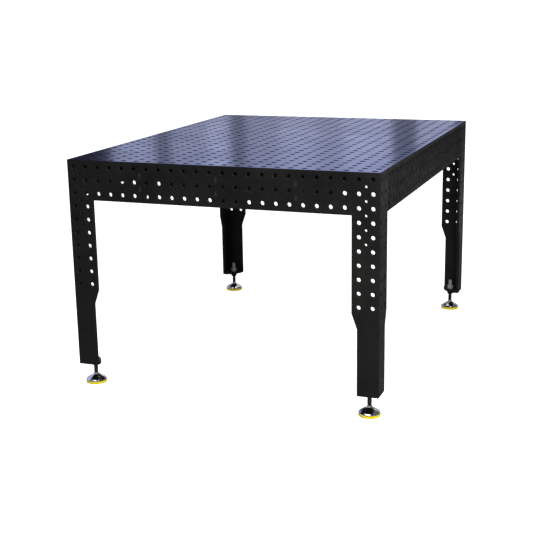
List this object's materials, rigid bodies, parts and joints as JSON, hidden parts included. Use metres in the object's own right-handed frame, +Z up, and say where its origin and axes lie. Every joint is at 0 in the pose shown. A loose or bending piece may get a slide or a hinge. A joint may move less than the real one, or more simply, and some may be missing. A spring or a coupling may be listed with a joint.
{
  "type": "welding table",
  "caption": "Four-legged steel welding table: perforated top and side plates on a square hole grid, ribs under the top, tapered L-shaped legs, swivel screw feet.",
  "frame": {"origin": "on the floor under the middle of the top", "axes": "+X along the shorter side to the right as seen from the front, +Y along the longer side to the back, +Z up"},
  "size_m": [1.2, 1.5, 0.884],
  "materials": {
    "black_steel": "satin near-black blackened steel",
    "top_steel": "smooth nitrided steel, semi-gloss, bluish grey",
    "stud_steel": "dark machined steel thread",
    "zinc": "bright zinc plate",
    "chrome": "polished chrome plate",
    "cup_plastic": "natural plastic",
    "yellow_rubber": "matt yellow anti-slip rubber"
  },
  "bodies": {
    "frame": {"table_top": "top_steel", "side_plate_front": "black_steel", "side_plate_back": "black_steel", "side_plate_left": "black_steel", "side_plate_right": "black_steel", "long_rib_left": "black_steel", "long_rib_middle": "black_steel", "long_rib_right": "black_steel", "cross_rib_front": "black_steel", "cross_rib_middle": "black_steel", "cross_rib_back": "black_steel", "leg_front_left": "black_steel", "foot_plate_front_left": "black_steel", "weld_nut_front_left": "black_steel", "lock_washer_front_left": "zinc", "leg_front_right": "black_steel", "foot_plate_front_right": "black_steel", "weld_nut_front_right": "black_steel", "lock_washer_front_right": "zinc", "leg_back_right": "black_steel", "foot_plate_back_right": "black_steel", "weld_nut_back_right": "black_steel", "lock_washer_back_right": "zinc", "leg_back_left": "black_steel", "foot_plate_back_left": "black_steel", "weld_nut_back_left": "black_steel", "lock_washer_back_left": "zinc"},
    "ball_front_left": {"stud_ball_front_left": "stud_steel"},
    "stud_front_left": {"foot_stud_front_left": "stud_steel"},
    "cup_front_left": {"ball_cup_front_left": "cup_plastic"},
    "base_front_left": {"foot_base_front_left": "chrome", "foot_pad_front_left": "yellow_rubber"},
    "nut_front_left": {"lock_nut_front_left": "zinc"},
    "ball_front_right": {"stud_ball_front_right": "stud_steel"},
    "stud_front_right": {"foot_stud_front_right": "stud_steel"},
    "cup_front_right": {"ball_cup_front_right": "cup_plastic"},
    "base_front_right": {"foot_base_front_right": "chrome", "foot_pad_front_right": "yellow_rubber"},
    "nut_front_right": {"lock_nut_front_right": "zinc"},
    "ball_back_right": {"stud_ball_back_right": "stud_steel"},
    "stud_back_right": {"foot_stud_back_right": "stud_steel"},
    "cup_back_right": {"ball_cup_back_right": "cup_plastic"},
    "base_back_right": {"foot_base_back_right": "chrome", "foot_pad_back_right": "yellow_rubber"},
    "nut_back_right": {"lock_nut_back_right": "zinc"},
    "ball_back_left": {"stud_ball_back_left": "stud_steel"},
    "stud_back_left": {"foot_stud_back_left": "stud_steel"},
    "cup_back_left": {"ball_cup_back_left": "cup_plastic"},
    "base_back_left": {"foot_base_back_left": "chrome", "foot_pad_back_left": "yellow_rubber"},
    "nut_back_left": {"lock_nut_back_left": "zinc"}
  },
  "joints": [
    {"name": "height_front_left", "type": "slide", "parent": "frame", "child": "ball_front_left", "axis": [0, 0, 1], "range_m": [-0.025, 0.028]},
    {"name": "stud_turn_front_left", "type": "hinge", "parent": "ball_front_left", "child": "stud_front_left", "pos_m": [-0.555, -0.705, 0.026], "axis": [0, 0, 1], "range_deg": [-4501, 5041]},
    {"name": "tilt_x_front_left", "type": "hinge", "parent": "ball_front_left", "child": "cup_front_left", "pos_m": [-0.555, -0.705, 0.026], "axis": [1, 0, 0], "range_deg": [-10, 10]},
    {"name": "tilt_y_front_left", "type": "hinge", "parent": "cup_front_left", "child": "base_front_left", "pos_m": [-0.555, -0.705, 0.026], "axis": [0, 1, 0], "range_deg": [-10, 10]},
    {"name": "lock_nut_lift_front_left", "type": "slide", "parent": "frame", "child": "nut_front_left", "axis": [0, 0, 1], "range_m": [0, 0.018]},
    {"name": "height_front_right", "type": "slide", "parent": "frame", "child": "ball_front_right", "axis": [0, 0, 1], "range_m": [-0.025, 0.028]},
    {"name": "stud_turn_front_right", "type": "hinge", "parent": "ball_front_right", "child": "stud_front_right", "pos_m": [0.555, -0.705, 0.026], "axis": [0, 0, 1], "range_deg": [-4501, 5041]},
    {"name": "tilt_x_front_right", "type": "hinge", "parent": "ball_front_right", "child": "cup_front_right", "pos_m": [0.555, -0.705, 0.026], "axis": [1, 0, 0], "range_deg": [-10, 10]},
    {"name": "tilt_y_front_right", "type": "hinge", "parent": "cup_front_right", "child": "base_front_right", "pos_m": [0.555, -0.705, 0.026], "axis": [0, 1, 0], "range_deg": [-10, 10]},
    {"name": "lock_nut_lift_front_right", "type": "slide", "parent": "frame", "child": "nut_front_right", "axis": [0, 0, 1], "range_m": [0, 0.018]},
    {"name": "height_back_right", "type": "slide", "parent": "frame", "child": "ball_back_right", "axis": [0, 0, 1], "range_m": [-0.025, 0.028]},
    {"name": "stud_turn_back_right", "type": "hinge", "parent": "ball_back_right", "child": "stud_back_right", "pos_m": [0.555, 0.705, 0.026], "axis": [0, 0, 1], "range_deg": [-4501, 5041]},
    {"name": "tilt_x_back_right", "type": "hinge", "parent": "ball_back_right", "child": "cup_back_right", "pos_m": [0.555, 0.705, 0.026], "axis": [1, 0, 0], "range_deg": [-10, 10]},
    {"name": "tilt_y_back_right", "type": "hinge", "parent": "cup_back_right", "child": "base_back_right", "pos_m": [0.555, 0.705, 0.026], "axis": [0, 1, 0], "range_deg": [-10, 10]},
    {"name": "lock_nut_lift_back_right", "type": "slide", "parent": "frame", "child": "nut_back_right", "axis": [0, 0, 1], "range_m": [0, 0.018]},
    {"name": "height_back_left", "type": "slide", "parent": "frame", "child": "ball_back_left", "axis": [0, 0, 1], "range_m": [-0.025, 0.028]},
    {"name": "stud_turn_back_left", "type": "hinge", "parent": "ball_back_left", "child": "stud_back_left", "pos_m": [-0.555, 0.705, 0.026], "axis": [0, 0, 1], "range_deg": [-4501, 5041]},
    {"name": "tilt_x_back_left", "type": "hinge", "parent": "ball_back_left", "child": "cup_back_left", "pos_m": [-0.555, 0.705, 0.026], "axis": [1, 0, 0], "range_deg": [-10, 10]},
    {"name": "tilt_y_back_left", "type": "hinge", "parent": "cup_back_left", "child": "base_back_left", "pos_m": [-0.555, 0.705, 0.026], "axis": [0, 1, 0], "range_deg": [-10, 10]},
    {"name": "lock_nut_lift_back_left", "type": "slide", "parent": "frame", "child": "nut_back_left", "axis": [0, 0, 1], "range_m": [0, 0.018]}
  ],
  "couplings": [
    {"joint": "stud_turn_front_left", "follows": "height_front_left", "rad_per_m": 3141.6},
    {"joint": "stud_turn_front_right", "follows": "height_front_right", "rad_per_m": 3141.6},
    {"joint": "stud_turn_back_right", "follows": "height_back_right", "rad_per_m": 3141.6},
    {"joint": "stud_turn_back_left", "follows": "height_back_left", "rad_per_m": 3141.6}
  ]
}
